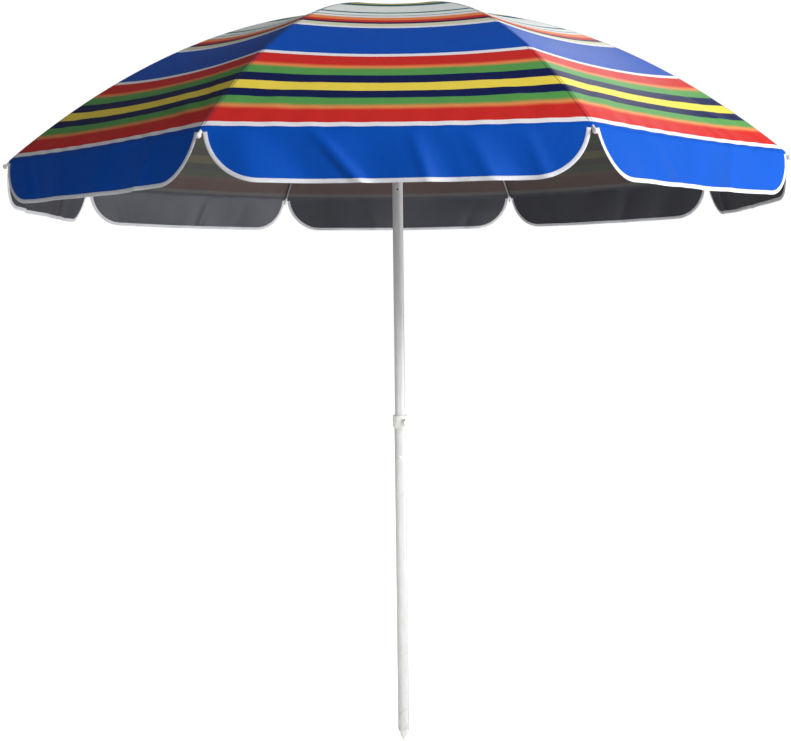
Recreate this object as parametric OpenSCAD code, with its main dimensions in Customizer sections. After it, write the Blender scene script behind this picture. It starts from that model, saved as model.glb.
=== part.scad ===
// Beach umbrella with eight ribs, a two-part pole and a ground spike. Millimetres, +Z up.
// The origin is on the pole's axis at the point of the spike. The front panel faces -Y.

/* [Canopy] */
// Distance from the pole's axis to a corner of the cloth
rim_radius = 1000; // [800:10:1300]
// Height of the cloth's corners above the spike's point
rim_height = 1560; // [1400:10:1800]
// Rise of the crown above the corners
crown_rise = 417; // [330:10:520]
// Power of the curve that the ribs follow
crown_power = 2.1; // [1.7:0.05:2.2]
// Thickness of the cloth's solid
cloth = 1.2; // [0.8:0.1:2]
// How far the middle of a hem hangs below its corners
hem_sag = 5; // [0:1:20]
// How much further the cloth hangs in the middle of a panel
belly_sag = 10; // [0:1:20]
// Gap between the cloths of two neighbouring ribs
cloth_gap = 0.4; // [0.3:0.1:1]
// Radius of the hole in the cloth at the crown
crown_hole_r = 9; // [6:1:14]
// Height of the valance
valance_drop = 104; // [70:1:140]
// How far the valance's edge stands out from the hem
valance_flare = 20; // [0:1:40]
// Width of the rounded end of a valance flap
flap_round = 108; // [60:1:140]
// Half the opening between two flaps at the corner
corner_open = 6.5; // [6:0.5:10]

/* [Ribs and stretchers] */
// Radius of a rib's rod
rib_r = 2.5; // [2:0.1:3.5]
// Clear gap between a rib and the cloth
rib_gap = 2.6; // [2:0.1:5]
// Distance from the pole's axis to the joint with the stretcher
stretcher_reach = 378; // [300:1:450]
// Drop from a rib's centre line to the stretcher's pivot
pivot_drop = 8; // [7:0.5:12]
// Radius of a stretcher's rod
stretcher_r = 2; // [1.6:0.1:2.5]
// Radius of the stretcher's rivet
rivet_r = 1.6; // [1.2:0.1:2]
// Sideways step that carries a stretcher past its rib
side_step = 6.4; // [6:0.2:9]
// Radius of a flattened eye
eye_r = 3.4; // [3:0.1:4.5]
// Thickness of a flattened eye
eye_t = 3; // [2:0.1:3.4]
// Radius of the ball on a rib's tip
ball_r = 6; // [5:0.5:9]
// Reach of the ball's centre past the cloth's corner
ball_reach = 14; // [12:1:20]

/* [Hub and runner] */
// Radius of the wire rings that the eyes turn on
ring_r = 21; // [20.5:0.5:26]
// Radius of the ring's wire
wire_r = 1; // [0.8:0.1:1.3]
// Radial clearance of an eye on its wire
wire_clear = 0.12; // [0.1:0.01:0.3]
// Length of the hub's sleeve
hub_length = 30; // [24:1:50]
// Bottom edge of the open runner
runner_bottom = 1540; // [1400:1:1600]
// Length of the runner
runner_length = 46; // [36:1:80]
// Radial clearance of the runner on the pole
runner_clear = 0.35; // [0.2:0.05:0.8]
// Radius of the screw that holds the cap
cap_screw_r = 2.5; // [2:0.1:4]
// Radius of the rivet through the hub and the pole
hub_rivet_r = 2; // [1.5:0.1:3]
// Radius of the cap on the crown
finial_r = 17; // [13:1:22]
// Height of the cap on the crown
finial_h = 9; // [6:1:20]

/* [Pole] */
// Outside radius of the lower tube
lower_r = 16; // [15.5:0.5:20]
// Wall of the lower tube
lower_wall = 1.5; // [1:0.1:1.6]
// Top end of the lower tube
lower_top = 903; // [860:1:1000]
// Outside radius of the upper tube
upper_r = 14; // [12:0.5:14]
// Wall of the upper tube
upper_wall = 1.2; // [0.8:0.1:2]
// Length of the upper tube inside the lower one
pole_overlap = 263; // [180:1:320]
// Height of the upper button hole
button_z = 791; // [760:1:800]
// Distance down to the second button hole
hole_pitch = 96; // [60:1:120]
// Radius of the snap button
button_r = 4; // [3:0.1:5]
// How far the snap button stands out of the lower tube
button_out = 2.2; // [1:0.1:4]
// Height of the rolled depth mark
depth_mark_z = 446; // [380:1:500]

/* [Collar and clamp] */
// Outside radius of the collar
collar_r = 20; // [19:0.5:24]
// Height of the collar
collar_h = 36; // [30:1:50]
// Height of the collar's tapered foot
collar_taper = 7; // [3:1:12]
// Radius of the clamp knob
knob_r = 10.5; // [8:0.5:15]
// Thickness of the clamp knob
knob_h = 12; // [8:1:20]
// Turn of the clamp screw round the pole, from the front
clamp_turn = 30; // [0:5:60]
// Radius of the clamp screw
screw_r = 3; // [2.5:0.5:4]

/* [Ground spike] */
// Height of the spike's cone
spike_h = 33.5; // [25:0.5:120]
// Radius of the spike's point
spike_tip_r = 2; // [1:0.5:4]
// Length of the spike's shank inside the tube
shank_h = 42; // [20:1:80]
// Thickness of the spike's fins
fin_t = 5; // [3:0.5:8]

/* [Runner catch] */
// Height of the pin that holds the catch spring
catch_pin_z = 1512; // [1480:1:1520]
// Radius of the pin that holds the catch spring
catch_pin_r = 2.4; // [1.5:0.1:3]
// How far the catch stands out of the upper tube
catch_out = 3.6; // [2:0.1:5]
// Width of the catch
catch_w = 5; // [3:0.5:6]

/* [Hidden] */
$fn = 48;
rib_count = 8;
half_turn = 180 / rib_count;

function numbered(name) = [for (k = [1:rib_count]) str(name, "_", k)];

// Heights and places that follow from the sizes above
fit = 0.05;
snug = 0.25;
eye_room = 0.3;
crown_z = rim_height + crown_rise;
hub_gap = 1.4;
rib_depth = cloth + max(rib_gap + rib_r, eye_r + eye_room + hub_gap);
hinge_z = cloth_z(ring_r) - rib_depth;
hub_top = hinge_z + eye_r + eye_room;
hub_plate = 3;
hub_rivet_z = hinge_z - hub_length / 2;
upper_top = hub_top - hub_plate - 0.3;
upper_bottom = lower_top - pole_overlap;
lower_bore = lower_r - lower_wall;
upper_bore = upper_r - upper_wall;
slot_floor = ring_r - eye_r - 0.4;
slot_w = eye_t + 0.6;
flange_r = ring_r + eye_r + 1.1;
flange_h = 14;
runner_top = runner_bottom + runner_length;
runner_pivot_z = runner_top - flange_h / 2 + 1;
washer_z = crown_z + 0.4;
washer_t = 0.8;
collar_bottom = lower_top + 2 - collar_h;
neck_r = lower_r - 0.25;
clamp_z = collar_bottom + collar_h / 2;
boss_end = collar_r + 7;
knob_start = boss_end + 1.5;
nut_r = screw_r + 2;
nut_seat = 6;
flute_r = 2.2;
screw_hole_r = cap_screw_r + 0.3;
catch_top = runner_bottom - 0.5;
catch_h = 9;
leaf_t = 0.8;
leaf_w = 8;
tip_socket = 8;
leaf_drop = 40;

// The curve of the cloth over a rib: height, slope and outward normal at a radius
function cloth_z(r) = rim_height + crown_rise * (1 - pow(r / rim_radius, crown_power));
function cloth_slope(r) =
    -crown_rise * crown_power / rim_radius * pow(r / rim_radius, crown_power - 1);
function rib_normal(r) = [-cloth_slope(r), 0, 1] / norm([cloth_slope(r), 1]);
function rib_line(r, drop = 0) = [r, 0, cloth_z(r)] - (rib_depth + drop) * rib_normal(r);
pivot = rib_line(stretcher_reach, pivot_drop);

// Azimuth of a rib, counted from the front; a child is drawn along +X with its width along Y
function rib_turn(k) = (k - 0.5) * 360 / rib_count - 90;
module at_rib(k) rotate([0, 0, rib_turn(k)]) children();
module across(p, r, from, to)
    translate([p[0], from, p[2]]) rotate([-90, 0, 0]) cylinder(r = r, h = to - from);

// A closed rod through a list of points: rings of elliptical section, half-widths given per point
function ring_at(p, ahead, half_w, half_h, sides) =
    let (d = ahead / norm(ahead), up = cross(d, [0, 1, 0]) / norm(cross(d, [0, 1, 0])))
    [for (i = [0:sides - 1]) p + half_w * cos(360 * i / sides) * [0, 1, 0]
        + half_h * sin(360 * i / sides) * up];
module rod(path, half_widths, half_h, sides = 8) {
    last = len(path) - 1;
    points = [for (j = [0:last])
        each ring_at(path[j], path[min(j + 1, last)] - path[max(j - 1, 0)], half_widths[j], half_h, sides)];
    function corner(j, i) = j * sides + i % sides;
    side_faces = [for (j = [0:last - 1], i = [0:sides - 1])
        each [[corner(j, i), corner(j + 1, i), corner(j + 1, i + 1)],
              [corner(j, i), corner(j + 1, i + 1), corner(j, i + 1)]]];
    ends = [[for (i = [0:sides - 1]) i], [for (i = [sides - 1:-1:0]) last * sides + i]];
    polyhedron(points, concat(side_faces, ends));
}

// Ground spike: a cone flush with the tube, cut to four fins, with a shank pressed into the tube
module ground_spike() color("ivory") {
    difference() {
        cylinder(r1 = spike_tip_r, r2 = lower_r, h = spike_h);
        for (a = [0:90:270])
            rotate([0, 0, a])
                translate([fin_t / 2, fin_t / 2, 3]) cube([lower_r, lower_r, spike_h - 9]);
    }
    translate([0, 0, spike_h - fit]) cylinder(r = lower_bore - fit, h = shank_h);
}

// Lower pole: a tube with two button holes, a clamp hole, a rolled depth mark and a swaged neck
module lower_pole() color("ivory") difference() {
    translate([0, 0, spike_h]) cylinder(r = lower_r, h = lower_top - spike_h);
    translate([0, 0, spike_h - 1]) cylinder(r = lower_bore, h = lower_top - spike_h + 2);
    for (z = [button_z, button_z - hole_pitch])
        translate([0, 0, z]) rotate([90, 0, 0]) cylinder(r = button_r + snug, h = lower_r + 1);
    clamp_axis(0) cylinder(r = screw_r + snug, h = lower_r + 1);
    translate([0, 0, collar_bottom - 2]) tube(lower_r + 1, neck_r, lower_top);
    translate([0, 0, depth_mark_z]) tube(lower_r + 1, lower_r - 0.2, 2);
}
module tube(outer, inner, h) difference() {
    cylinder(r = outer, h = h);
    translate([0, 0, -1]) cylinder(r = inner, h = h + 2);
}
module clamp_axis(start)
    translate([0, 0, clamp_z]) rotate([0, 0, clamp_turn - 90]) rotate([0, 90, 0])
        translate([0, 0, start]) children();

// Collar: moulded sleeve on the lower tube's neck, with a lip that guides the upper tube
module collar() color("ivory") difference() {
    union() {
        translate([0, 0, collar_bottom]) cylinder(r1 = lower_r + 0.8, r2 = collar_r, h = collar_taper);
        translate([0, 0, collar_bottom + collar_taper])
            cylinder(r = collar_r, h = collar_h - collar_taper - 1.5);
        translate([0, 0, collar_bottom + collar_h - 1.5])
            cylinder(r1 = collar_r, r2 = collar_r - 1.5, h = 1.5);
        clamp_axis(lower_r + 1) cylinder(r = knob_r - 2, h = boss_end - lower_r - 1);
    }
    translate([0, 0, collar_bottom - 1])
        cylinder(r = neck_r + fit, h = lower_top - collar_bottom + 1 + fit);
    translate([0, 0, lower_top - 1]) cylinder(r = upper_r + snug, h = collar_h);
    clamp_axis(0) cylinder(r = screw_r + snug, h = boss_end + 1);
    clamp_axis(boss_end - nut_seat) cylinder(r = nut_r + fit, h = nut_seat + 1);
}

// Clamp nut: threaded brass sleeve set in the collar's boss
module clamp_nut() color("goldenrod")
    clamp_axis(boss_end - nut_seat + fit) tube(nut_r, screw_r + fit, nut_seat - 0.5);

// Clamp screw: the knob's stud, whose end presses on the upper tube
module clamp_screw() color("silver")
    clamp_axis(upper_r + fit) cylinder(r = screw_r, h = knob_start + knob_h / 2 - upper_r);

// Clamp knob: a fluted head moulded on the stud
module clamp_knob() color("ivory") difference() {
    clamp_axis(knob_start) cylinder(r = knob_r, h = knob_h - 2);
    for (a = [0:45:315])
        clamp_axis(knob_start - 1) rotate([0, 0, a])
            translate([knob_r + flute_r - 1, 0, 0]) cylinder(r = flute_r, h = knob_h);
    clamp_axis(knob_start - 1) cylinder(r = screw_r + 0.01, h = knob_h / 2 + 1 + fit);
}

// Upper pole: a tube that slides in the lower one, drilled for the clip, the catch and the hub's rivet
module upper_pole() color("whitesmoke") difference() {
    translate([0, 0, upper_bottom]) cylinder(r = upper_r, h = upper_top - upper_bottom);
    translate([0, 0, upper_bottom - 1]) cylinder(r = upper_bore, h = upper_top - upper_bottom + 2);
    translate([0, 0, button_z]) rotate([90, 0, 0]) cylinder(r = button_r + snug, h = upper_r + 1);
    translate([-catch_w / 2 - 0.5, -upper_r - 1, catch_top - catch_h - 2])
        cube([catch_w + 1, upper_r, catch_h + 3]);
    across([0, 0, hub_rivet_z], hub_rivet_r + fit, -upper_r - 1, upper_r + 1);
    across([0, 0, catch_pin_z], catch_pin_r + fit, -upper_r - 1, upper_r + 1);
}

// Pole plug: moulded end of the upper tube, which centres it in the lower one
module pole_plug() color("dimgray") {
    translate([0, 0, upper_bottom - 4]) cylinder(r = lower_bore - 0.3, h = 4 - fit);
    translate([0, 0, upper_bottom - 1]) cylinder(r = upper_bore - fit, h = 22);
}

// Snap clip: a bent leaf spring whose button comes out through both tubes
module snap_clip() color("white") {
    leaf_y = upper_bore - 1.4;
    button_end = lower_r + button_out;
    translate([0, 0, button_z]) rotate([90, 0, 0]) {
        cylinder(r = button_r, h = button_end - 1.2);
        translate([0, 0, button_end - 1.2]) cylinder(r1 = button_r, r2 = button_r - 1.4, h = 1.2);
    }
    for (side = [-1, 1])
        translate([-leaf_w / 2, side * leaf_y - leaf_t / 2, button_z - leaf_drop])
            cube([leaf_w, leaf_t, leaf_drop + (side < 0 ? 6 : -6)]);
    translate([-leaf_w / 2, 0, button_z - leaf_drop]) rotate([0, 90, 0]) rotate([0, 0, -90])
        rotate_extrude(angle = 180) translate([leaf_y - leaf_t / 2, 0]) square([leaf_t, leaf_w]);
}

// A moulded ring holder: a sleeve, and a flange with a groove for the wire and a slot for each eye
module ring_holder(pivot_z, bottom, top, bore) difference() {
    union() {
        translate([0, 0, bottom]) cylinder(r = slot_floor + 0.6, h = top - bottom);
        translate([0, 0, pivot_z - flange_h / 2]) cylinder(r = flange_r, h = top - pivot_z + flange_h / 2);
    }
    translate([0, 0, bottom - 1]) cylinder(r = bore, h = top - bottom + 2);
    translate([0, 0, pivot_z - wire_r - fit]) tube(flange_r + 1, ring_r - wire_r - fit, 2 * (wire_r + fit));
    for (k = [1:rib_count])
        at_rib(k) translate([slot_floor, -slot_w / 2, pivot_z - flange_h]) cube([20, slot_w, 2 * flange_h]);
}
module wire_ring(z)
    translate([0, 0, z]) rotate_extrude() translate([ring_r, 0]) circle(r = wire_r, $fn = 24);

// Hub: the crown's notch, fixed on top of the upper pole, closed by a plate with a screw hole
module hub() color("ivory") {
    difference() {
        ring_holder(hinge_z, hinge_z - hub_length, hub_top, upper_r + fit);
        across([0, 0, hub_rivet_z], hub_rivet_r + fit, -flange_r, flange_r);
    }
    translate([0, 0, hub_top - hub_plate]) tube(upper_r + 1, screw_hole_r, hub_plate);
}
module hub_wire() color("silver") wire_ring(hinge_z);

// Hub rivet: a pin through the hub and the pole
module hub_rivet() color("silver")
    across([0, 0, hub_rivet_z], hub_rivet_r, -slot_floor - 0.5, slot_floor + 0.5);

// Crown washer: holds the cloth down under the cap
module crown_washer() color("white") translate([0, 0, washer_z]) tube(finial_r + 5, screw_hole_r, washer_t);

// Finial cap: a low moulded dome screwed on through the cloth
module finial_cap() color("ivory") difference() {
    translate([0, 0, washer_z + washer_t + fit]) intersection() {
        cylinder(r = finial_r, h = finial_h);
        translate([0, 0, finial_h - finial_r * 1.6]) sphere(r = finial_r * 1.6);
    }
    cylinder(r = cap_screw_r + 0.02, h = crown_z + 5);
}

// Finial screw: its head sits inside the tube, under the hub's plate
module finial_screw() color("silver") {
    translate([0, 0, upper_top - 3]) cylinder(r = 2 * cap_screw_r, h = 3 + 0.2);
    translate([0, 0, upper_top - 1]) cylinder(r = cap_screw_r, h = crown_z + 4 - upper_top);
}

// Runner: the sleeve that slides on the pole and carries the stretchers
module runner() color("ivory")
    ring_holder(runner_pivot_z, runner_bottom, runner_top, upper_r + runner_clear);
module runner_wire() color("silver") wire_ring(runner_pivot_z);

// Catch spring: a leaf inside the pole, whose nose comes out under the runner
module catch_spring() color("silver") {
    leaf_y = -upper_bore + 1.2;
    difference() {
        translate([-catch_w / 2, leaf_y - leaf_t / 2, catch_pin_z - 9])
            cube([catch_w, leaf_t, catch_top - catch_pin_z + 9]);
        translate([0, 0, catch_pin_z]) rotate([90, 0, 0]) cylinder(r = catch_pin_r + fit, h = upper_r + 1);
    }
    translate([-catch_w / 2, 0, 0]) rotate([90, 0, 90]) linear_extrude(catch_w)
        polygon([[leaf_y, catch_top - catch_h], [leaf_y, catch_top], [-upper_r - catch_out, catch_top],
                 [-upper_r - catch_out, catch_top - 1.5]]);
}

// Catch pin: fixes the spring across the pole, its ends flush so that the runner passes over them
module catch_pin() color("dimgray") across([0, 0, catch_pin_z], catch_pin_r, -upper_r, upper_r);

// Rib: a rod under the cloth, flattened to an eye at the hub
module rib(k) color("lightgray") at_rib(k) difference() {
    steps = 26;
    start = ring_r + 2.2;
    radii = [for (i = [0:steps]) start + (rim_radius - start) * pow(i / steps, 1.15)];
    union() {
        rod([for (r = radii) rib_line(r)],
            [for (r = radii) min(rib_r, eye_t / 2 + max(0, r - ring_r - 8) / 25)],
            rib_r);
        across([ring_r, 0, hinge_z], eye_r, -eye_t / 2, eye_t / 2);
    }
    across([ring_r, 0, hinge_z], wire_r + wire_clear, -eye_t, eye_t);
}

// Rib clip: a sleeve squeezed on the rib, with an ear and the rivet for the stretcher's eye
module rib_clip(k) color("silver") at_rib(k) {
    tilt = atan(-cloth_slope(stretcher_reach));
    centre = rib_line(stretcher_reach);
    translate(centre) rotate([0, 90 + tilt, 0]) translate([0, 0, -7]) tube(rib_r + 1.1, rib_r + 0.12, 14);
    ear = rib_r + 0.3;
    translate([0, ear, 0]) rotate([-90, 0, 0]) linear_extrude(1.2) hull() {
        translate([pivot[0], -pivot[2]]) circle(r = 3.2, $fn = 24);
        translate([centre[0], -centre[2]]) rotate(tilt) square([13, 4], center = true);
    }
    across(pivot, rivet_r, ear + 0.1, side_step - eye_t / 2 - 0.2);
}

// Stretcher: a rod with a flat eye at each end, stepped sideways to pass beside its rib
foot = [ring_r, 0, runner_pivot_z];
head = [pivot[0], side_step, pivot[2]];
function ease(u) = u * u * (3 - 2 * u);
function stretcher_point(u) =
    [foot[0] + (head[0] - foot[0]) * u, side_step * ease(min(1, u * 6)), foot[2] + (head[2] - foot[2]) * u];
function stretcher_width(u) = min(stretcher_r, eye_t / 2 + 25 * min(max(0, u - 0.02), max(0, 0.98 - u)));
module stretcher(k) color("lightgray") at_rib(k) difference() {
    shares = concat([0.004, 0.02], [for (i = [1:8]) i * 0.03], [for (i = [1:8]) 0.24 + 0.093 * i], [0.996]);
    union() {
        rod([for (u = shares) stretcher_point(u)], [for (u = shares) stretcher_width(u)], stretcher_r);
        across(foot, eye_r, -eye_t / 2, eye_t / 2);
        across(head, eye_r, side_step - eye_t / 2, side_step + eye_t / 2);
    }
    across(foot, wire_r + wire_clear, -eye_t, eye_t);
    across(head, rivet_r + fit, side_step - eye_t, side_step + eye_t);
}

// Rib tip: a moulded cap with a ball, pushed on the end of the rib past the cloth's corner
module rib_tip(k) color("white") at_rib(k) {
    corner = rib_line(rim_radius);
    tilt = atan(-cloth_slope(rim_radius));
    translate(corner) rotate([0, 90 + tilt, 0]) {
        difference() {
            translate([0, 0, -tip_socket]) cylinder(r = rib_r + 1.1, h = tip_socket + ball_reach);
            translate([0, 0, -tip_socket - 1]) cylinder(r = rib_r + snug, h = tip_socket + 1.1);
        }
        translate([0, 0, ball_reach]) sphere(r = ball_r);
    }
}

// Canopy: the cloth over one rib, out to the middle of both panels, with half of each valance.
// Rows run from the crown to the hem and down the valance; columns run from the rib to the middle.
canopy_rows = 13;
valance_drops = [for (u = [0.015, 0.25, 0.5, 0.72, 0.88, 1]) u * valance_drop];
columns = 5;
along = [-sin(half_turn), cos(half_turn), 0];
outward = [cos(half_turn), sin(half_turn), 0];
function half_chord(r) = r * sin(half_turn);
function belly(s) = belly_sag * 6.75 * s * s * (1 - s);
function sag(r, u) = (hem_sag * r / rim_radius + belly(r / rim_radius)) * (1 - (1 - u) * (1 - u));
function flap_inset(d) = corner_open + flap_round * (1 - sqrt(max(0, 1 - pow(d / valance_drop, 2))));
function row_radius(i) = crown_hole_r + (rim_radius - crown_hole_r) * i / canopy_rows;
function panel_point(r, u) =
    let (e = u * (half_chord(r) - cloth_gap / 2))
    [r, 0, cloth_z(r)] + e * along - [0, 0, sag(r, u)];
function panel_normal(r, u) =
    let (m = cloth_slope(r) / cos(half_turn), lean = u == 0 ? [cos(half_turn), 0, 0] : outward)
    (-m * lean + [0, 0, 1]) / norm([m, 1]);
function flap_point(d, u) =
    let (last = half_chord(rim_radius) - cloth_gap / 2, e = flap_inset(d) + u * (last - flap_inset(d)))
    [rim_radius, 0, rim_height] + e * along - [0, 0, d + sag(rim_radius, e / last)]
    + outward * valance_flare * d / valance_drop;
function outer_point(i, u) =
    i <= canopy_rows ? panel_point(row_radius(i), u) : flap_point(valance_drops[i - canopy_rows - 1], u);
function inner_point(i, u) =
    i < canopy_rows ? outer_point(i, u) - cloth * panel_normal(row_radius(i), u)
    : i > canopy_rows ? outer_point(i, u) - cloth * outward
    : outer_point(i, u) - cloth * (panel_normal(rim_radius, u) + (u == 0 ? [0.4, 0, 0] : 0.4 * outward));
function mirrored(p, side) = [p[0], side * p[1], p[2]];

rows = canopy_rows + len(valance_drops);
per_half = (rows + 1) * (columns + 1);
function corner_at(inner, half, place) =
    2 * per_half * inner + (place[1] == 0 && place[0] <= canopy_rows ? 0 : half * per_half)
    + place[0] * (columns + 1) + place[1];
function wound(face, flip) = flip ? [for (i = [len(face) - 1:-1:0]) face[i]] : face;
// The two triangles of one quad of a skin, and of the wall between the skins along one edge
function skin_quad(inner, half, i, j) =
    let (a = corner_at(inner, half, [i, j]), b = corner_at(inner, half, [i + 1, j]),
         c = corner_at(inner, half, [i + 1, j + 1]), d = corner_at(inner, half, [i, j + 1]),
         flip = (inner + half) % 2 == 0)
    [wound([a, b, c], flip), wound([a, c, d], flip)];
function wall_quad(half, from, to, flip) =
    let (a = corner_at(0, half, from), b = corner_at(0, half, to),
         c = corner_at(1, half, to), d = corner_at(1, half, from), turned = (flip + half) % 2 == 0)
    [wound([a, b, c], turned), wound([a, c, d], turned)];

module canopy(k) color("royalblue") at_rib(k) {
    points = [for (inner = [0, 1], side = [1, -1], i = [0:rows], j = [0:columns])
        mirrored(inner == 0 ? outer_point(i, j / columns) : inner_point(i, j / columns), side)];
    skins = [for (inner = [0, 1], half = [0, 1], i = [0:rows - 1], j = [0:columns - 1])
        each skin_quad(inner, half, i, j)];
    walls = [for (half = [0, 1]) each concat(
        [for (j = [0:columns - 1]) each wall_quad(half, [0, j], [0, j + 1], 0)],
        [for (j = [0:columns - 1]) each wall_quad(half, [rows, j], [rows, j + 1], 1)],
        [for (i = [0:rows - 1]) each wall_quad(half, [i, columns], [i + 1, columns], 0)],
        [for (i = [canopy_rows:rows - 1]) each wall_quad(half, [i, 0], [i + 1, 0], 1)])];
    polyhedron(points, concat(skins, walls), convexity = 4);
}

ground_spike();
lower_pole();
collar();
clamp_nut();
clamp_screw();
clamp_knob();
upper_pole();
pole_plug();
snap_clip();
hub();
hub_wire();
hub_rivet();
finial_cap();
finial_screw();
crown_washer();
runner();
runner_wire();
catch_spring();
catch_pin();
for (k = [1:rib_count]) rib(k);
for (k = [1:rib_count]) rib_clip(k);
for (k = [1:rib_count]) stretcher(k);
for (k = [1:rib_count]) rib_tip(k);
for (k = [1:rib_count]) canopy(k);
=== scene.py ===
# A beach umbrella, open and upright: finish of the frame's parts, the sewn canopy, light and camera.
from math import atan2, cos, exp, pi, radians, sin, sqrt

import bpy
import numpy as np
from mathutils import Matrix, Vector


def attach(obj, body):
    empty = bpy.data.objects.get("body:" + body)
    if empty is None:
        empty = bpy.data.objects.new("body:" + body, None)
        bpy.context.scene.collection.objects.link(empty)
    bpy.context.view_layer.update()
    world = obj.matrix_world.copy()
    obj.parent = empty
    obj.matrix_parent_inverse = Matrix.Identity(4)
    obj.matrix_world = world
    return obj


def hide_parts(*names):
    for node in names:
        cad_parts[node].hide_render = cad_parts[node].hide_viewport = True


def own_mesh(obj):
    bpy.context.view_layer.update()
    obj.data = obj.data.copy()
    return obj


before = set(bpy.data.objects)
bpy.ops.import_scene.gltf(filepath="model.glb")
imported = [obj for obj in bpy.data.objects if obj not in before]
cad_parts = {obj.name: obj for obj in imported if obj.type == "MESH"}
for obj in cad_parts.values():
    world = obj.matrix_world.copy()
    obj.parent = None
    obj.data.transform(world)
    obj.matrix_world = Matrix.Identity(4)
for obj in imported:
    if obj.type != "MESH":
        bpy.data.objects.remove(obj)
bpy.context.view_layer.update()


# ---- Camera and light -------------------------------------------------------------------------
# The camera stands in front of the umbrella, a little under the height of its rim, and looks
# slightly down. A large soft key at the right front, a weak fill, and small lamps for the sheen
# on the far slope, the lining and the pole, in a white room that lights less than it shows.
CAMERA_PLACE = (0.0, -3.383, 1.239)
CAMERA_TILT = 86.0
CAMERA_ROLL = -0.67
CAMERA_LENS = 56.94
CAMERA_SENSOR = 36.0
CAMERA_SHIFT = (-0.0054, 0.0110)
ROOM_SEEN = 1.02
ROOM_LIGHT = 0.12
LAMPS = [
    # name, place, aim, watts, size across, spread in degrees
    ("key", (5.2, -3.6, 3.9), (0.0, 0.0, 1.4), 430.0, 1.8, 180.0),
    ("fill", (-3.6, -4.4, 2.2), (0.0, 0.0, 1.4), 22.0, 3.0, 180.0),
    ("glare", (2.6, 5.6, 4.6), (0.4, -0.4, 1.7), 100.0, 1.6, 180.0),
    ("under", (4.4, -0.3, 0.6), (-0.6, 0.5, 1.60), 22.0, 1.0, 90.0),
    ("pole", (-2.0, -3.6, 0.7), (0.0, 0.0, 0.45), 3.0, 0.7, 30.0),
]

scene = bpy.context.scene
lens = bpy.data.cameras.new("camera")
lens.lens = CAMERA_LENS
lens.sensor_width = CAMERA_SENSOR
lens.shift_x, lens.shift_y = CAMERA_SHIFT
camera = bpy.data.objects.new("camera", lens)
turn = Matrix.Rotation(radians(CAMERA_TILT), 4, "X") @ Matrix.Rotation(radians(CAMERA_ROLL), 4, "Z")
camera.matrix_world = Matrix.Translation(CAMERA_PLACE) @ turn
scene.collection.objects.link(camera)
scene.camera = camera
for name, place, aim, watts, across, spread in LAMPS:
    light = bpy.data.lights.new(name, "AREA")
    light.energy = watts
    light.size = across
    light.spread = radians(spread)
    lamp = bpy.data.objects.new(name, light)
    way = Vector(aim) - Vector(place)
    lamp.matrix_world = Matrix.Translation(place) @ way.to_track_quat("-Z", "Y").to_matrix().to_4x4()
    scene.collection.objects.link(lamp)
world = bpy.data.worlds.new("room")
world.use_nodes = True
room = world.node_tree
room.nodes["Background"].inputs["Color"].default_value = (1.0, 1.0, 1.0, 1.0)
seen = room.nodes.new("ShaderNodeMath")
seen.operation = "MULTIPLY_ADD"
seen.inputs[1].default_value = ROOM_SEEN - ROOM_LIGHT
seen.inputs[2].default_value = ROOM_LIGHT
room.links.new(room.nodes.new("ShaderNodeLightPath").outputs["Is Camera Ray"], seen.inputs[0])
room.links.new(seen.outputs[0], room.nodes["Background"].inputs["Strength"])
scene.world = world
scene.view_settings.view_transform = "Standard"


# ---- Shop for finishes ------------------------------------------------------------------------
# A finish is a procedural material. Wire is one socket of its node tree, and arithmetic on a Wire
# adds Math nodes; Finish.add puts in any other node.
class Wire:
    def __init__(self, finish, socket):
        self.finish, self.socket = finish, socket

    def math(self, operation, *others):
        return self.finish.add("ShaderNodeMath", {"operation": operation}, [self, *others])

    def __add__(self, other):
        return self.math("ADD", other)

    def __mul__(self, other):
        return self.math("MULTIPLY", other)

    def __sub__(self, other):
        return self.math("SUBTRACT", other)

    def __rsub__(self, other):
        return self.finish.add("ShaderNodeMath", {"operation": "SUBTRACT"}, [other, self])

    def __gt__(self, other):
        return self.math("GREATER_THAN", other)

    __radd__ = __add__
    __rmul__ = __mul__


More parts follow.
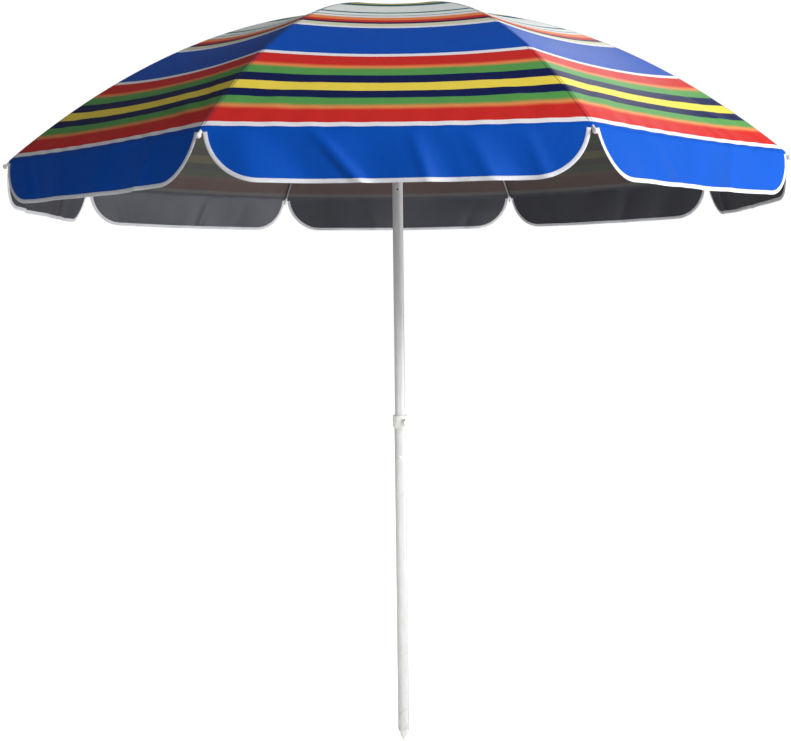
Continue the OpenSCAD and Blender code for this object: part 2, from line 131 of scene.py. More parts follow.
class Finish:
    def __init__(self, name, **shader):
        self.material = bpy.data.materials.new(name)
        self.material.use_nodes = True
        self.tree = self.material.node_tree
        self.shader = self.tree.nodes["Principled BSDF"]
        for socket, value in shader.items():
            self.shader.inputs[socket.replace("_", " ")].default_value = value

    def add(self, kind, settings=None, values=(), out=0):
        """A node of a type with its settings; values go to its inputs by place or by name."""
        node = self.tree.nodes.new(kind)
        for key, value in (settings or {}).items():
            setattr(node, key, value)
        pairs = values.items() if isinstance(values, dict) else enumerate(values)
        for key, value in pairs:
            self.set(node.inputs[key], value)
        return Wire(self, node.outputs[out])

    def set(self, socket, value):
        if isinstance(value, Wire):
            self.tree.links.new(value.socket, socket)
        else:
            socket.default_value = value

    def ramp(self, value, stops):
        """A plain colour for each stretch of a value: stops are (start, (r, g, b))."""
        wire = self.add("ShaderNodeValToRGB", {}, [value])
        ramp = wire.socket.node.color_ramp
        ramp.interpolation = "CONSTANT"
        while len(ramp.elements) < len(stops):
            ramp.elements.new(0.5)
        for element, (place, colour) in zip(ramp.elements, stops):
            element.position = place
            element.color = (*colour, 1.0)
        return wire

    def noise(self, scale, detail=3.0, where=None, roughness=0.5):
        where = where or self.add("ShaderNodeTexCoord", out="Object")
        return self.add("ShaderNodeTexNoise", {},
                        {"Vector": where, "Scale": scale, "Detail": detail, "Roughness": roughness})

    def mix(self, factor, one, two):
        """Two colours mixed by a factor."""
        return self.add("ShaderNodeMix", {"data_type": "RGBA"}, {0: factor, 6: one, 7: two}, out=2)

    def stretch(self, x, y, z):
        """Object coordinates scaled along each axis."""
        where = self.add("ShaderNodeTexCoord", out="Object")
        return self.add("ShaderNodeMapping", {}, {"Vector": where, "Scale": (x, y, z)})

    def bump(self, height, strength, distance):
        self.wear(Normal=self.add("ShaderNodeBump", {},
                                  {"Strength": strength, "Distance": distance, "Height": height}))

    def wear(self, **wires):
        for socket, wire in wires.items():
            self.set(self.shader.inputs[socket.replace("_", " ")], wire)


def linear(red, green, blue):
    """A display colour of 0 to 255 as the renderer's linear colour."""
    return tuple((c / 255.0) ** 2.2 for c in (red, green, blue))


def paint(colour):
    """The same with its alpha, as a colour socket takes it."""
    return (*linear(*colour), 1.0)


def paint_node(finish, *nodes):
    for node in nodes:
        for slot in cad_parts[node].material_slots:
            slot.material = finish.material


# ---- Pole tubes -------------------------------------------------------------------------------
# Drawn steel tubes with a white powder coat. The coat has a fine orange peel, faint long rub
# marks where one tube slides in the other, and sand scuffs that thicken towards the spike.
SAND = (176, 170, 160)


def powder_coat(name, colour, dull, scuff_top):
    coat = Finish(name, Metallic=0.0, Coat_Weight=0.15, Coat_Roughness=0.3)
    where = coat.add("ShaderNodeTexCoord", out="Object")
    height = coat.add("ShaderNodeSeparateXYZ", {}, [where], out="Z")
    patches = coat.noise(9.0, 4.0)
    rubs = coat.noise(1.0, 4.0, coat.stretch(420.0, 420.0, 9.0), 0.6)
    low = coat.add("ShaderNodeMapRange", {"clamp": True}, [height, scuff_top, 0.0, 0.0, 1.0])
    scuffs = (coat.noise(1.0, 5.0, coat.stretch(160.0, 160.0, 45.0), 0.7) > 0.56) * low * 0.55
    marks = (rubs > 0.66) * 0.18 + scuffs
    base = coat.mix(patches, paint(colour), paint(dull))
    coat.wear(Base_Color=coat.mix(marks, base, paint(SAND)),
              Roughness=marks * 0.3 + patches * 0.12 + 0.3)
    coat.bump(coat.noise(1500.0, 2.0) + marks * -0.4, 0.10, 0.0004)
    return coat


paint_node(powder_coat("lower_tube_coat", (208, 208, 207), (198, 198, 195), 0.42), "lower_pole")
paint_node(powder_coat("upper_tube_coat", (214, 214, 214), (204, 204, 203), 0.0), "upper_pole")


# ---- Moulded parts ----------------------------------------------------------------------------
# Spike, collar, knob, hub, runner and cap are injection moulded in white plastic with a faint
# grain; the snap button and washer are a cleaner white, the pin and plug are dark.
GRIME = (150, 144, 132)


def moulded(name, colour, shade, rough, grain=0.12):
    plastic = Finish(name, IOR=1.47)
    flow = plastic.noise(38.0, 5.0)
    grit = plastic.noise(2600.0, 2.0)
    specks = plastic.noise(420.0, 4.0, roughness=0.7) > 0.68
    base = plastic.mix(flow, paint(colour), paint(shade))
    plastic.wear(Base_Color=plastic.mix(specks * 0.22, base, paint(GRIME)),
                 Roughness=flow * 0.16 + specks * 0.12 + rough)
    plastic.bump(grit + flow * 0.5, grain, 0.0003)
    return plastic


white_moulding = moulded("white_moulding", (236, 236, 232), (218, 217, 210), 0.36)
paint_node(white_moulding, "ground_spike", "collar", "clamp_knob", "hub", "runner", "finial_cap")
paint_node(moulded("clean_moulding", (244, 244, 244), (232, 232, 230), 0.3), "snap_clip", "crown_washer")
paint_node(moulded("dark_moulding", (34, 34, 38), (22, 22, 25), 0.42), "catch_pin", "pole_plug")
paint_node(moulded("tip_moulding", (246, 246, 248), (236, 236, 240), 0.18, 0.05),
           *[f"rib_tip_{k}" for k in range(1, 9)])


# ---- Small metal ------------------------------------------------------------------------------
# Wire rings, rivet, screws, clips and the catch are zinc-plated steel; the clamp nut is brass.
def plated(name, colour, shade, rough):
    metal = Finish(name, Metallic=1.0)
    grain = metal.noise(1.0, 4.0, metal.stretch(900.0, 900.0, 60.0), 0.6)
    bloom = metal.noise(120.0, 4.0)
    metal.wear(Base_Color=metal.mix(bloom, paint(colour), paint(shade)),
               Roughness=grain * 0.2 + bloom * 0.15 + rough)
    metal.bump(grain, 0.15, 0.0002)
    return metal


paint_node(plated("zinc", (196, 198, 202), (158, 160, 166), 0.28), "clamp_screw", "hub_wire", "runner_wire",
           "hub_rivet", "finial_screw", "catch_spring", *[f"rib_clip_{k}" for k in range(1, 9)])
paint_node(plated("brass", (206, 170, 92), (170, 132, 64), 0.25), "clamp_nut")
rod_paint = plated("rod_paint", (205, 206, 208), (176, 178, 182), 0.34)
paint_node(rod_paint, *[f"rib_{k}" for k in range(1, 9)], *[f"stretcher_{k}" for k in range(1, 9)])


# ---- Canopy cloth -----------------------------------------------------------------------------
# Eight gores of printed polyester, sewn together over the ribs and left whole at the hem, where
# each gore folds down as its valance flap. Grey, faintly metallic coat inside, darkened as painted
# shade under the canopy. Each piece here is the cloth over one rib, out to the middle of both gores, in
# three rings.
RIBS = 8
HALF = pi / RIBS
RIM = 1.0
RIM_HEIGHT = 1.560
RISE = 0.417
CURVE = 2.1
CROWN_HOLE = 0.009
HEM_SAG = 0.005
BELLY_SAG = 0.010
DROP = 0.104
FLARE = 0.020
FLAP_ROUND = 0.108
CORNER_OPEN = 0.0065
CLOTH = 0.0007
FOLD = 0.005
COLUMNS = 40
FOLD_ROWS = 5
FLAP_ROWS = 22
RINGS = [
    # name, inner and outer distance from the pole, rows of faces
    ("crown", CROWN_HOLE, 0.611, 34),
    ("middle", 0.611, 0.826, 20),
    ("rim", 0.826, RIM, 20),
]
CREASE = 0.0018
PUCKER = 0.0006
SEAM_GROOVE = 0.0012


def cloth_height(r):
    return RIM_HEIGHT + RISE * (1.0 - (r / RIM) ** CURVE)


def cloth_slope(r):
    return -RISE * CURVE / RIM * (r / RIM) ** (CURVE - 1.0)


def half_chord(r):
    return r * sin(HALF)


def slack(r):
    """How far the cloth hangs in the middle of a gore, at a distance from the pole."""
    s = r / RIM
    return HEM_SAG * s + BELLY_SAG * 6.75 * s * s * (1.0 - s)


def flap_inset(share):
    """Distance of a flap's side edge from the corner, at a share of the drop."""
    lead = CORNER_OPEN * min(1.0, share * DROP / 0.006)
    return lead + FLAP_ROUND * (1.0 - sqrt(max(0.0, 1.0 - share * share)))


def rib_azimuth(k):
    return (k - 0.5) * 2.0 * HALF - pi / 2.0


def gore_beside(k, side):
    return k % RIBS if side > 0 else (k - 1) % RIBS


def hem_way(side):
    """Along the hem from a rib's corner to the middle of the gore, in the rib's own frame."""
    return np.array([-sin(HALF), side * cos(HALF), 0.0])


def outward_way(side):
    """Square to the hem, away from the pole."""
    return np.array([cos(HALF), side * sin(HALF), 0.0])


# Folds of each gore's flap: place across it, half width, how far it stands out, and its slant.
# Gore 0 is in front.
FLAP_FOLDS = [
    [(-0.300, 0.030, 0.004, 0.3), (-0.205, 0.050, -0.009, 0.9), (-0.118, 0.014, 0.011, 0.9),
     (-0.060, 0.050, -0.004, 0.2), (0.045, 0.012, 0.006, 0.3), (0.085, 0.030, -0.006, 0.4),
     (0.160, 0.016, 0.005, 0.5), (0.215, 0.030, -0.005, 0.5), (0.270, 0.014, 0.004, 0.4)],
    [(-0.240, 0.040, 0.006, 0.5), (-0.130, 0.016, 0.006, 0.4), (0.020, 0.050, -0.008, -0.3),
     (0.110, 0.015, 0.007, -0.5), (0.240, 0.050, 0.005, -0.3)],
    [(-0.160, 0.050, -0.007, 0.5), (-0.060, 0.014, 0.007, 0.5), (0.110, 0.060, 0.007, 0.2),
     (0.250, 0.018, -0.005, -0.4)],
    [(-0.220, 0.040, 0.006, 0.6), (-0.080, 0.018, 0.006, 0.4), (0.020, 0.060, -0.007, 0.2),
     (0.190, 0.016, 0.006, -0.5)],
    [(-0.250, 0.016, 0.006, 0.5), (-0.060, 0.070, 0.007, 0.3), (0.090, 0.015, -0.006, -0.4),
     (0.210, 0.040, -0.006, -0.4)],
    [(-0.180, 0.050, -0.007, 0.6), (-0.050, 0.015, 0.006, 0.4), (0.080, 0.050, 0.006, 0.2),
     (0.260, 0.016, -0.005, -0.5)],
    [(-0.230, 0.050, 0.006, 0.5), (-0.110, 0.014, 0.006, 0.4), (0.030, 0.060, -0.007, -0.2),
     (0.190, 0.017, 0.006, -0.6)],
    [(-0.260, 0.016, -0.005, 0.5), (-0.140, 0.050, 0.007, 0.4), (0.090, 0.050, -0.007, -0.3),
     (0.210, 0.015, 0.006, -0.5)],
]


def gore_wave(gore, across, share):
    """How far a flap's cloth ripples outwards, from its place across the gore."""
    lean = 2.1 * gore
    ripple = 0.0026 * (sin(17.0 * across + lean) + 0.6 * sin(39.0 * across + 1.7 * lean))
    for place, width, depth, slant in FLAP_FOLDS[gore]:
        ripple += depth * exp(-(((across - place - slant * DROP * (share - 0.5)) / width) ** 2))
    return sqrt(share) * ripple


def crease(gore, side, along_hem, up_slope):
    """Soft creases that fan out from a corner of the gore, and the pucker of the hem's seam."""
    reach = sqrt(along_hem**2 + up_slope**2)
    turn_up = atan2(up_slope, along_hem + 1e-6)
    fan = sin(turn_up * 10.0 + 0.7 * sin(5.0 * gore + side)) * sin(2.0 * turn_up)
    fan += 0.35 * sin(turn_up * 31.0 + 3.0 * gore + side) * sin(2.0 * turn_up)
    pull = CREASE * fan * reach / (reach + 0.05) * exp(-((reach / 0.26) ** 2))
    gather = sin(along_hem * 95.0 + 4.0 * sin(9.0 * up_slope + gore))
    return pull + PUCKER * gather * exp(-((up_slope / 0.10) ** 2))


def cloth_point(k, side, station, share):
    """A point of the outer skin in the rib's own frame, and how far across the gore it lies.

    station: ("slope", r) on the canopy, or ("flap", share of the drop) below the hem."""
    kind, value = station
    outward = outward_way(side)
    if kind == "slope":
        half = half_chord(value)
        e = share * half
        sag = slack(value) * (1.0 - (1.0 - share) ** 2)
        point = np.array([value, 0.0, cloth_height(value)]) + e * hem_way(side) - np.array([0.0, 0.0, sag])
        tilt = cloth_slope(value) / cos(HALF)
        lean = np.array([-tilt * outward[0], -tilt * outward[1], 1.0]) / sqrt(tilt * tilt + 1.0)
        seam = -SEAM_GROOVE * exp(-((e / 0.003) ** 2))
        calm = sin(pi * min(1.0, share)) ** 0.5 if 0.0 < share < 1.0 else 0.0
        lift = crease(gore_beside(k, side), side, e, (RIM - value) * 1.3) * calm + seam
        return point + lift * lean, -side * (half - e)
    start = flap_inset(value)
    return flap_point(k, side, start + share * (half_chord(RIM) - start), value)


def flap_point(k, side, e, value):
    """A point of a flap's outer skin, from its distance along the hem and its share of the drop."""
    half = half_chord(RIM)
    sag = HEM_SAG * (1.0 - (1.0 - e / half) ** 2)
    across = -side * (half - e)
    out = FLARE * value + gore_wave(gore_beside(k, side), across, value)
    point = np.array([RIM, 0.0, RIM_HEIGHT - sag - value * DROP])
    return point + e * hem_way(side) + out * outward_way(side), across


def stations():
    """The rows of the cloth from the crown to the flap's edge, and where each ring starts."""
    rows, starts = [], []
    for _, inner, outer, count in RINGS:
        starts.append(len(rows))
        rows += [("slope", inner + (outer - inner) * i / count) for i in range(count)]
    rows[-1] = ("slope", RIM - FOLD)
    rows += [("fold", i / FOLD_ROWS) for i in range(1, FOLD_ROWS)]
    first = FOLD / DROP
    turn_from = np.arcsin(first)
    angles = [turn_from + (pi / 2.0 - turn_from) * (i / FLAP_ROWS) for i in range(FLAP_ROWS + 1)]
    rows += [("flap", float(sin(a))) for a in angles]
    return rows, starts


def cloth_grid(k):
    """Points, outward normals and cloth coordinates of the whole cloth over one rib."""
    rows, _ = stations()
    points = np.zeros((2, len(rows), COLUMNS + 1, 3))
    cloth_at = np.zeros((2, len(rows), COLUMNS + 1, 3))
    down = 0.0
    for i, row in enumerate(rows):
        for h, side in enumerate((1, -1)):
            for j in range(COLUMNS + 1):
                share = j / COLUMNS
                if row[0] == "fold":
                    t = row[1]
                    a, _ = cloth_point(k, side, ("slope", RIM - FOLD), share)
                    b, across = cloth_point(k, side, ("slope", RIM), share)
                    c, _ = cloth_point(k, side, ("flap", FOLD / DROP), share)
                    place = (1 - t) ** 2 * a + 2 * t * (1 - t) * b + t * t * c
                else:
                    place, across = cloth_point(k, side, row, share)
                points[h, i, j] = place
                cloth_at[h, i, j, 0] = across
        if i:
            down += float(np.linalg.norm(points[0, i, -1] - points[0, i - 1, -1]))
        band = row[1] if row[0] == "slope" else RIM + 0.01 * (1 + i)
        cloth_at[:, i, :, 1] = down
        cloth_at[:, i, :, 2] = band
    ahead = np.gradient(points, axis=1)
    beside = np.gradient(points, axis=2)
    normals = np.cross(ahead, beside)
    normals[1] *= -1.0
    for h, side in enumerate((1, -1)):
        along = hem_way(side)
        edge = normals[h, :, -1]
        normals[h, :, -1] = edge - np.outer(edge @ along, along)
    slope_rows = [i for i, row in enumerate(rows) if row[0] == "slope"]
    shared = normals[0, slope_rows, 0] + normals[1, slope_rows, 0]
    normals[0, slope_rows, 0] = shared
    normals[1, slope_rows, 0] = shared
    normals /= np.linalg.norm(normals, axis=3, keepdims=True)
    return points, normals, cloth_at


def at_rib(k, points):
    """Points of a rib's own frame, turned to that rib's place round the pole."""
    a = rib_azimuth(k)
    x, y, z = points[..., 0], points[..., 1], points[..., 2]
    return np.stack([x * cos(a) - y * sin(a), x * sin(a) + y * cos(a), z], axis=-1)


def mesh_object(name, points, faces, finish, smooth=True):
    mesh = bpy.data.meshes.new(name)
    mesh.from_pydata([tuple(map(float, p)) for p in points], [], faces)
    mesh.validate()
    if smooth:
        mesh.shade_smooth()
    mesh.materials.append(finish.material)
    piece = bpy.data.objects.new(name, mesh)
    scene.collection.objects.link(piece)
    return piece


def hard_edges(piece, angle):
    """Marks the edges sharper than an angle, so that smooth shading stops at them."""
    piece.data.set_sharp_from_angle(angle=radians(angle))


def shell(name, k, points, normals, cloth_at, split_from, finish):
    """A closed sheet: outer and inner skins over both halves, and walls round its edge.

    Down to the row split_from the two halves share the points on the rib; below it they part."""
    rows, columns = points.shape[1], points.shape[2]
    outer = points.reshape(-1, 3)
    inner = (points - CLOTH * normals).reshape(-1, 3)
    per_half = rows * columns

    def index(skin, half, i, j):
        half = 0 if j == 0 and i <= split_from else half
        return skin * 2 * per_half + half * per_half + i * columns + j

    faces = []
    for half in (0, 1):
        for i in range(rows - 1):
            for j in range(columns - 1):
                quad = [(i, j), (i + 1, j), (i + 1, j + 1), (i, j + 1)]
                for skin in (0, 1):
                    ring = [index(skin, half, *c) for c in quad]
                    faces.append(ring if (half + skin) % 2 == 0 else ring[::-1])
        edges = [((0, j + 1), (0, j)) for j in range(columns - 1)]
        edges += [((rows - 1, j), (rows - 1, j + 1)) for j in range(columns - 1)]
        edges += [((i + 1, columns - 1), (i, columns - 1)) for i in range(rows - 1)]
        edges += [((i, 0), (i + 1, 0)) for i in range(split_from, rows - 1)]
        for one, two in edges:
            ring = [index(0, half, *two), index(0, half, *one),
                    index(1, half, *one), index(1, half, *two)]
            faces.append(ring if half == 0 else ring[::-1])
    used = sorted({v for face in faces for v in face})
    renumber = {v: n for n, v in enumerate(used)}
    every = np.concatenate([outer, inner])[used]
    piece = mesh_object(name, at_rib(k, every), [[renumber[v] for v in f] for f in faces], finish)
    coordinates = np.concatenate([cloth_at.reshape(-1, 3)] * 2)[used]
    inside = np.array([1.0 if v >= 2 * per_half else 0.0 for v in used])
    for label, values in (("across", coordinates[:, 0]), ("down", coordinates[:, 1]),
                          ("band", coordinates[:, 2]), ("inside", inside)):
        layer = piece.data.attributes.new(label, "FLOAT", "POINT")
        layer.data.foreach_set("value", values.astype(np.float32))
    hard_edges(piece, 50.0)
    ridge = {renumber[index(skin, 0, i, 0)] for skin in (0, 1) for i in range(rows) if i <= split_from}
    for edge in piece.data.edges:
        if edge.vertices[0] in ridge and edge.vertices[1] in ridge:
            edge.use_edge_sharp = True
    return piece


BLUE = (0, 82, 186)
NAVY = (20, 32, 82)
GREEN = (92, 160, 84)
YELLOW = (250, 224, 84)
ORANGE = (250, 146, 88)
RED = (214, 48, 44)
WHITE = (246, 244, 248)
PALE = (222, 222, 190)
# Pale print colour, lightened further as painted sheen on the crown's slope
PALE_BAND_AND_SHEEN = (246, 252, 249)
TEAL = (40, 110, 116)
# Lining greys, darkened as painted shade under the canopy
GREY_LINING_AND_SHADE = (94, 93, 90)
DARKER_LINING_AND_SHADE = (79, 78, 76)
THREAD_PITCH = 0.0011
# Where each printed stripe starts, as a share of the rib's reach from the pole outwards (the pale band at
# 0.360 is partly painted sheen)
STRIPES = [
    (0.000, RED), (0.110, WHITE), (0.125, BLUE), (0.235, WHITE), (0.250, NAVY), (0.270, GREEN),
    (0.290, YELLOW), (0.310, NAVY), (0.330, TEAL), (0.360, PALE_BAND_AND_SHEEN), (0.455, TEAL), (0.465, PALE_BAND_AND_SHEEN),
    (0.490, TEAL), (0.495, WHITE), (0.510, ORANGE), (0.530, RED), (0.550, NAVY), (0.560, PALE),
    (0.580, WHITE), (0.590, BLUE), (0.735, WHITE), (0.750, RED), (0.795, GREEN), (0.825, NAVY),
    (0.855, YELLOW), (0.880, NAVY), (0.905, GREEN), (0.935, RED), (0.980, WHITE), (0.990, BLUE),
]
# Where the dye runs into the next stripe through orange: centre and half width of the blend
GLOWS = [(0.795, 0.010), (0.935, 0.010), (0.530, 0.008)]


def printed_cloth():
    cloth = Finish("printed_cloth", Sheen_Weight=0.02, Sheen_Roughness=0.5, Specular_IOR_Level=0.12)
    across = cloth.add("ShaderNodeAttribute", {"attribute_name": "across"}, out="Fac")
    down = cloth.add("ShaderNodeAttribute", {"attribute_name": "down"}, out="Fac")
    band = cloth.add("ShaderNodeAttribute", {"attribute_name": "band"}, out="Fac")
    inside = cloth.add("ShaderNodeAttribute", {"attribute_name": "inside"}, out="Fac")
    flat = cloth.add("ShaderNodeCombineXYZ", {}, [across, down, 0.0])
    ragged = cloth.noise(900.0, 2.0, flat) - 0.5
    stripes = cloth.ramp(band + ragged * 0.0012, [(start, linear(*dye)) for start, dye in STRIPES])
    for centre, width in GLOWS:
        glow = ((band - centre).math("ABSOLUTE") * (-1.0 / width) + 1.0).math("MAXIMUM", 0.0)
        stripes = cloth.mix(glow * 0.95, stripes, paint(ORANGE))
    warp = (across * (2.0 * pi / THREAD_PITCH)).math("SINE")
    weft = (down * (2.0 * pi / THREAD_PITCH)).math("SINE")
    weave = warp * weft
    fade = cloth.noise(5.0, 4.0, flat)
    drawn = cloth.add("ShaderNodeMapping", {}, {"Vector": flat, "Scale": (60.0, 900.0, 1.0)})
    slub = cloth.noise(1.0, 3.0, drawn)
    tone = weave * 0.05 + fade * 0.16 + slub * 0.12 + 0.84
    shaded = cloth.add("ShaderNodeVectorMath", {"operation": "SCALE"}, {0: stripes, "Scale": tone})
    # The lining's grey, darkened as painted shade under the canopy
    lining_grey_and_shade = cloth.mix(fade, paint(GREY_LINING_AND_SHADE), paint(DARKER_LINING_AND_SHADE))
    lining = cloth.mix(0.05, lining_grey_and_shade, stripes)
    cloth.wear(Base_Color=cloth.mix(inside, shaded, lining),
               Roughness=inside * -0.1 + fade * 0.12 + 0.52,
               Metallic=inside * 0.25)
    crumple = cloth.noise(26.0, 4.0, flat, 0.6)
    cloth.bump(weave * 0.12 + slub * 0.2 + crumple * 6.0, 0.35, 0.0006)
    return cloth


canopy_finish = printed_cloth()
rows, ring_starts = stations()
hem_row = max(i for i, row in enumerate(rows) if row[0] == "slope")


def follow_rib(piece, k):
    """Carries a soft piece on its rib."""
    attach(piece, f"rib_{k}")
    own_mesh(piece)


for k in range(1, RIBS + 1):
    points, normals, cloth_at = cloth_grid(k)
    for n, (ring, inner, outer, _) in enumerate(RINGS):
        first = ring_starts[n]
        last = ring_starts[n + 1] if n + 1 < len(RINGS) else len(rows) - 1
        cut = slice(first, last + 1)
        piece = shell(f"canopy_{ring}_{k}", k, points[:, cut], normals[:, cut], cloth_at[:, cut],
                      hem_row - first, canopy_finish)
        length = float(cloth_at[0, last, 0, 1] - cloth_at[0, first, 0, 1])
        wide, narrow = 2.0 * half_chord(outer), 2.0 * half_chord(inner)
        flat_area = 0.5 * (wide + narrow) * length
        round(min(flat_area, wide * length), 4)
        follow_rib(piece, k)
    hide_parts(f"canopy_{k}")


# ---- Binding and stitches ---------------------------------------------------------------------
# White ribbed tape folded over the edge of every flap and sewn through, and two rows of
# topstitching beside each rib's seam. The stitches are set along their lines by Geometry Nodes.
TAPE = 0.0075
TAPE_SECTION = [(TAPE, 0.0005), (TAPE / 2, 0.0009), (0.0, 0.0008), (-0.0011, -CLOTH / 2),
                (0.0, -CLOTH - 0.0008), (TAPE / 2, -CLOTH - 0.0009), (TAPE, -CLOTH - 0.0005),
                (TAPE, -CLOTH - 0.0001), (0.0003, -CLOTH - 0.0001), (-0.0003, -CLOTH / 2),
                (0.0003, 0.0001), (TAPE, 0.0001)]
TAPE_WHITE = (244, 245, 250)
TAPE_SOIL = (222, 225, 232)
SIDE_STEPS = 22
BOTTOM_STEPS = 30
EDGE_START = 0.07
STITCH_PITCH = 0.0034
STITCH_LENGTH = 0.0024
THREAD_RADIUS = 0.00032
HEM_STITCH_IN = 0.0056
HEM_STITCH_LIFT = 0.0009
SEAM_STITCH_BESIDE = 0.0042
SEAM_STITCH_LIFT = 0.0002
SEAM_START = 0.03
SEAM_END = 0.99
SEAM_STEPS = 60


def edge_path():
    """The edge of half a flap, from the corner down its side and along the bottom to the middle."""
    turn_from = np.arcsin(EDGE_START)
    angles = [turn_from + (pi / 2.0 - turn_from) * i / SIDE_STEPS for i in range(SIDE_STEPS + 1)]
    side_edge = [(flap_inset(sin(a)), sin(a) * DROP) for a in angles]
    reach, end = side_edge[-1][0], half_chord(RIM)
    bottom = [(reach + (end - reach) * i / BOTTOM_STEPS, DROP) for i in range(1, BOTTOM_STEPS + 1)]
    return np.array(side_edge + bottom)


def flap_place(k, side, e, d, lift):
    """A point at a height over a flap's outer skin."""
    share = d / DROP
    point, _ = flap_point(k, side, e, share)
    beside, _ = flap_point(k, side, e + 0.001, share)
    below, _ = flap_point(k, side, e, share + 0.01)
    normal = np.cross(beside - point, below - point) * -side
    return point + lift * normal / np.linalg.norm(normal)


def edge_frames():
    """The flap's edge and, at each of its points, the way into the cloth."""
    path = edge_path()
    ahead = np.gradient(path, axis=0)
    ahead /= np.linalg.norm(ahead, axis=1, keepdims=True)
    return path, np.stack([ahead[:, 1], -ahead[:, 0]], axis=1)


def bind_flap(k):
    """The tape on both half flaps of one rib, as two closed strips."""
    path, inward = edge_frames()
    points, faces = [], []
    n = len(TAPE_SECTION)
    for side in (1, -1):
        base = len(points)
        for place, way in zip(path, inward):
            for width, lift in TAPE_SECTION:
                e, d = place + width * way
                points.append(flap_place(k, side, e, d, lift))
        last = base + (len(path) - 1) * n
        strip = [[base + i * n + j, base + i * n + (j + 1) % n, base + (i + 1) * n + (j + 1) % n,
                  base + (i + 1) * n + j] for i in range(len(path) - 1) for j in range(n)]
        strip += [[base + j for j in reversed(range(n))], [last + j for j in range(n)]]
        faces += strip if side > 0 else [face[::-1] for face in strip]
    return points, faces


def woven_tape():
    tape = Finish("binding_tape", Specular_IOR_Level=0.3)
    ribs_across = tape.add("ShaderNodeTexWave", {"wave_type": "RINGS", "rings_direction": "Z"},
                           {"Vector": tape.add("ShaderNodeTexCoord", out="Object"), "Scale": 700.0,
                            "Distortion": 0.4})
    soil = tape.noise(30.0, 4.0)
    fuzz = tape.noise(1400.0, 3.0)
    tape.wear(Base_Color=tape.mix(soil, paint(TAPE_WHITE), paint(TAPE_SOIL)),
              Roughness=fuzz * 0.2 + 0.6)
    tape.bump(ribs_across + fuzz * 0.6, 0.5, 0.0003)
    return tape


def sewing_thread(name, colour, shade):
    thread = Finish(name, Specular_IOR_Level=0.3)
    twist = thread.noise(1.0, 2.0, thread.stretch(2400.0, 2400.0, 900.0))
    thread.wear(Base_Color=thread.mix(twist, paint(colour), paint(shade)),
                Roughness=twist * 0.2 + 0.5)
    thread.bump(twist, 0.4, 0.0002)
    return thread


def stitch_tree():
    """Geometry Nodes: a short thread at every pitch along the lines of a mesh."""
    tree = bpy.data.node_groups.new("stitch_row", "GeometryNodeTree")
    sockets = {}
    for label, kind, value in (("Lines", "NodeSocketGeometry", None),
                               ("Pitch", "NodeSocketFloat", STITCH_PITCH),
                               ("Stitch length", "NodeSocketFloat", STITCH_LENGTH),
                               ("Thread radius", "NodeSocketFloat", THREAD_RADIUS),
                               ("Thread", "NodeSocketMaterial", None)):
        socket = tree.interface.new_socket(label, in_out="INPUT", socket_type=kind)
        if value is not None:
            socket.default_value = value
        sockets[label] = socket.identifier
    tree.interface.new_socket("Stitches", in_out="OUTPUT", socket_type="NodeSocketGeometry")

    def node(kind, values=(), **settings):
        made = tree.nodes.new(kind)
        for key, value in settings.items():
            setattr(made, key, value)
        for key, value in dict(values).items():
            if isinstance(value, bpy.types.NodeSocket):
                tree.links.new(value, made.inputs[key])
            else:
                made.inputs[key].default_value = value
        return made

    given = node("NodeGroupInput").outputs
    lines = node("GeometryNodeMeshToCurve", {"Mesh": given["Lines"]})
    spaced = node("GeometryNodeResampleCurve",
                  {"Curve": lines.outputs[0], "Length": given["Pitch"]}, mode="LENGTH")
    thread = node("GeometryNodeMeshCylinder",
                  {"Vertices": 6, "Radius": given["Thread radius"], "Depth": given["Stitch length"]},
                  fill_type="NGON")
    tangent = node("GeometryNodeInputTangent")
    along = node("FunctionNodeAlignRotationToVector", {"Vector": tangent.outputs[0]}, axis="Z")
    placed = node("GeometryNodeInstanceOnPoints",
                  {"Points": spaced.outputs[0], "Instance": thread.outputs["Mesh"],
                   "Rotation": along.outputs[0]})
    real = node("GeometryNodeRealizeInstances", {"Geometry": placed.outputs[0]})
    dyed = node("GeometryNodeSetMaterial", {"Geometry": real.outputs[0], "Material": given["Thread"]})
    node("NodeGroupOutput", {0: dyed.outputs[0]})
    return tree, sockets


def sew(name, lines, finish):
    """Stitches along polylines, as one plain mesh."""
    points, edges = [], []
    for line in lines:
        edges += [(len(points) + i, len(points) + i + 1) for i in range(len(line) - 1)]
        points += [tuple(map(float, p)) for p in line]
    guide_mesh = bpy.data.meshes.new(name + "_guide")
    guide_mesh.from_pydata(points, edges, [])
    guide = bpy.data.objects.new(name + "_guide", guide_mesh)
    scene.collection.objects.link(guide)
    rows_of_thread = guide.modifiers.new("stitches", "NODES")
    rows_of_thread.node_group = STITCHES
    rows_of_thread[STITCH_SOCKETS["Thread"]] = finish.material
    bpy.context.view_layer.update()
    ready = guide.evaluated_get(bpy.context.evaluated_depsgraph_get())
    mesh = bpy.data.meshes.new_from_object(ready)
    bpy.data.objects.remove(guide)
    bpy.data.meshes.remove(guide_mesh)
    piece = bpy.data.objects.new(name, mesh)
    scene.collection.objects.link(piece)
    return piece


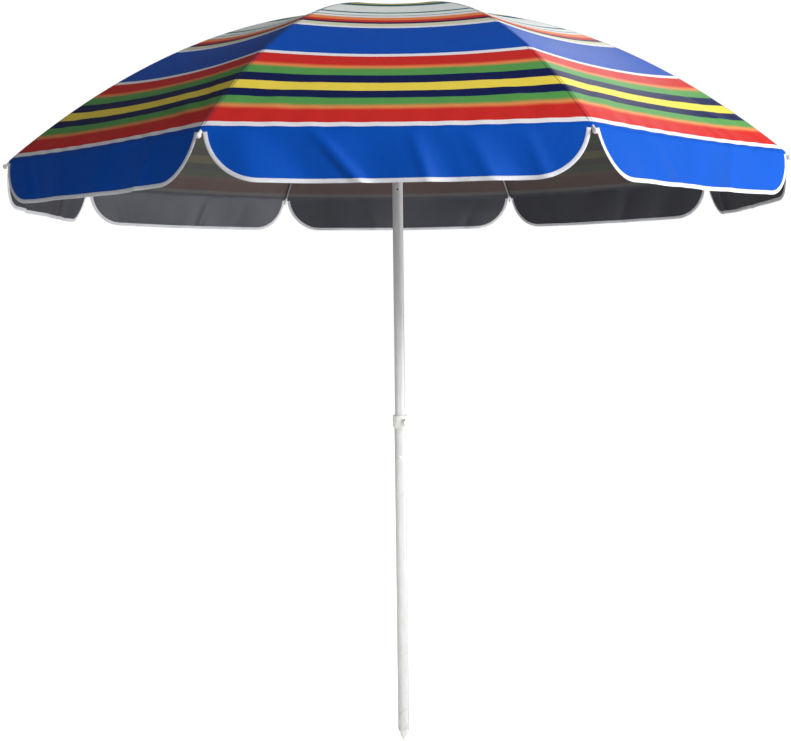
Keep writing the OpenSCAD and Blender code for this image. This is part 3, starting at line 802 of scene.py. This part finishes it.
def hem_line(k, side):
    """The stitch line on the binding of half a flap."""
    path, inward = edge_frames()
    return at_rib(k, np.array([flap_place(k, side, *(place + HEM_STITCH_IN * way), HEM_STITCH_LIFT)
                               for place, way in zip(path, inward)]))


def seam_line(k, side):
    """The stitch line on one side of the seam over a rib."""
    places = []
    for i in range(SEAM_STEPS + 1):
        r = SEAM_START + (SEAM_END - SEAM_START) * i / SEAM_STEPS
        point, _ = cloth_point(k, side, ("slope", r), SEAM_STITCH_BESIDE / half_chord(r))
        places.append(point + np.array([0.0, 0.0, SEAM_STITCH_LIFT]))
    return at_rib(k, np.array(places))


STITCHES, STITCH_SOCKETS = stitch_tree()
tape_finish = woven_tape()
white_thread = sewing_thread("white_thread", (238, 238, 242), (206, 208, 216))
blue_thread = sewing_thread("blue_thread", (60, 78, 120), (44, 58, 96))
for k in range(1, RIBS + 1):
    tape_points, tape_faces = bind_flap(k)
    tape = mesh_object(f"binding_{k}", at_rib(k, np.array(tape_points)), tape_faces, tape_finish)
    hard_edges(tape, 60.0)
    follow_rib(tape, k)
    hem_thread = sew(f"binding_stitches_{k}", [hem_line(k, side) for side in (1, -1)], white_thread)
    follow_rib(hem_thread, k)
    seam_thread = sew(f"seam_stitches_{k}", [seam_line(k, side) for side in (1, -1)], blue_thread)
    follow_rib(seam_thread, k)


# ---- Floor ------------------------------------------------------------------------------------
# A plain white floor under the spike, lit so that it meets the room without a line.
FLOOR_REACH = 60.0
BLACK = (0.0, 0.0, 0.0, 1.0)
PALE_GREY = (0.90, 0.90, 0.90, 1.0)
NEAR_WHITE = (0.93, 0.93, 0.93, 1.0)

floor = Finish("floor", Roughness=0.9, Emission_Strength=1.0)
seen_floor = floor.add("ShaderNodeLightPath", out="Is Camera Ray")
floor.wear(Emission_Color=floor.mix(seen_floor, BLACK, NEAR_WHITE),
           Base_Color=floor.mix(floor.noise(2.0), PALE_GREY, NEAR_WHITE))
corners = [(x * FLOOR_REACH, y * FLOOR_REACH, 0.0) for x, y in ((-1, -1), (1, -1), (1, 1), (-1, 1))]
ground = mesh_object("floor", corners, [(0, 1, 2, 3)], floor, smooth=False)
